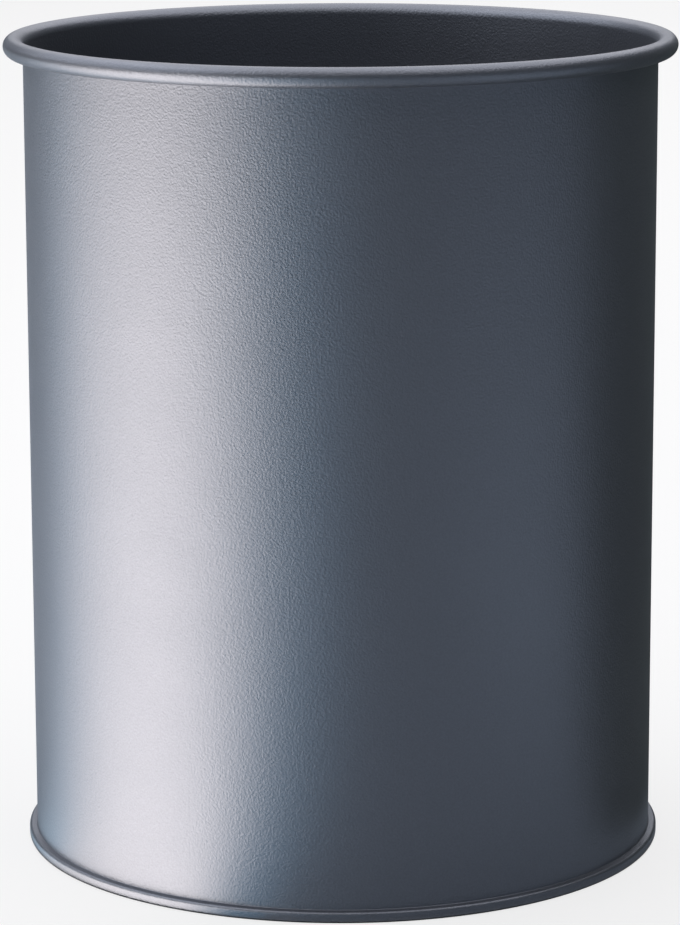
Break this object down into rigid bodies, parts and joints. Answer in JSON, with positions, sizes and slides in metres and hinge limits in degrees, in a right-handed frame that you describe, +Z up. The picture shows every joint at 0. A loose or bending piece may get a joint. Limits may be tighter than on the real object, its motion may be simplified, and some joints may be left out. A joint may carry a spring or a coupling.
{
  "type": "metal waste bin",
  "caption": "Straight round waste bin of painted sheet steel, open at the top, with a hollow rolled rim and a recessed base folded to the wall in a foot seam.",
  "frame": {"origin": "middle of the floor under the bin, in the plane of its foot ring", "axes": "+Z up along the bin's axis, -Y towards the side that the picture shows, +Y towards the side lap of the wall"},
  "size_m": [0.26, 0.26, 0.318],
  "materials": {
    "slate_paint": "fine-textured metallic powder coat, satin"
  },
  "bodies": {
    "root": {"body_shell": "slate_paint", "base_panel": "slate_paint"}
  },
  "joints": []
}
